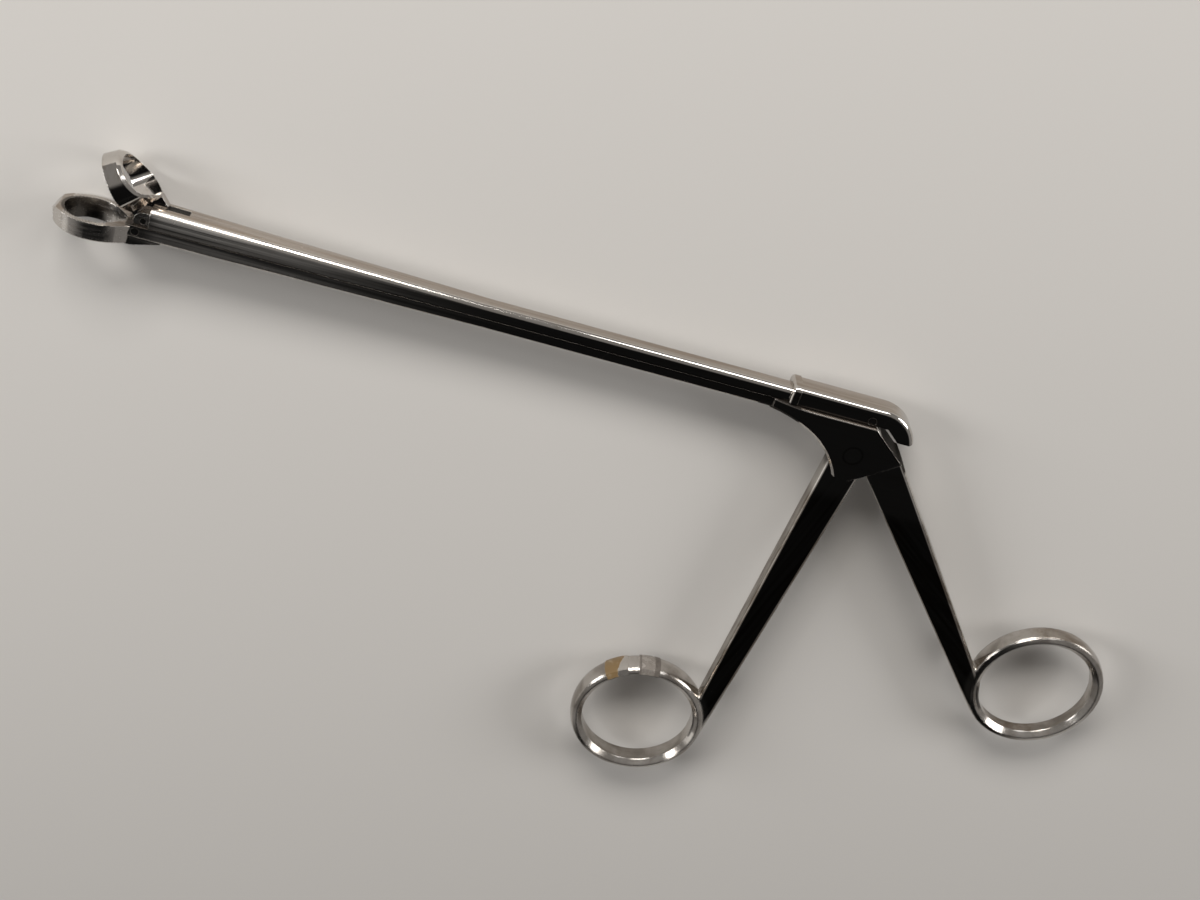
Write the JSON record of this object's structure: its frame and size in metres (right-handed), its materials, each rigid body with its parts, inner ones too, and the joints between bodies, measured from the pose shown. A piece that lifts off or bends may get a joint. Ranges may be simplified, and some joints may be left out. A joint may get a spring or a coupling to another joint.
{
  "type": "bone rongeur",
  "caption": "Ring-handled bone rongeur with a sliding upper shaft and a hinged, fenestrated oval cup jaw, jaws open.",
  "frame": {"origin": "on the handle pivot's axis, in the hub's lower side face", "axes": "+X back along the shaft from jaws to hub, +Y from the rings up to the slider, +Z through the thickness; the instrument lies on its side"},
  "size_m": [0.2469, 0.1198, 0.012],
  "materials": {
    "steel": "mirror-polished stainless steel",
    "pin_steel": "ground and peened stainless steel pins",
    "amber_tape": "worn amber marking tape",
    "grey_tape": "worn whitish marking tape with a brown edge"
  },
  "bodies": {
    "fixed_body": {"fixed_half": "steel", "jaw_pivot_pin": "pin_steel", "handle_screw": "pin_steel"},
    "slider_body": {"slider": "steel", "jaw_link_pin": "pin_steel", "drive_pin": "pin_steel"},
    "lever_body": {"finger_lever": "steel", "amber_marking_tape": "amber_tape", "grey_marking_tape": "grey_tape"},
    "jaw_body": {"upper_jaw": "steel"}
  },
  "joints": [
    {"name": "handle_pivot", "type": "hinge", "parent": "fixed_body", "child": "lever_body", "pos_m": [0, 0, 0.0042], "axis": [0, 0, 1], "range_deg": [0, 16]},
    {"name": "slider_travel", "type": "slide", "parent": "fixed_body", "child": "slider_body", "axis": [-1, 0, 0], "range_m": [0, 0.00234]},
    {"name": "jaw_hinge", "type": "hinge", "parent": "fixed_body", "child": "jaw_body", "pos_m": [-0.1505, 0.0062, 0.0042], "axis": [0, 0, 1], "range_deg": [0, 53.01]}
  ],
  "couplings": [
    {"joint": "slider_travel", "follows": "handle_pivot", "m_per_rad": 0.0083914},
    {"joint": "jaw_hinge", "follows": "handle_pivot", "ratio": 3.3125}
  ]
}
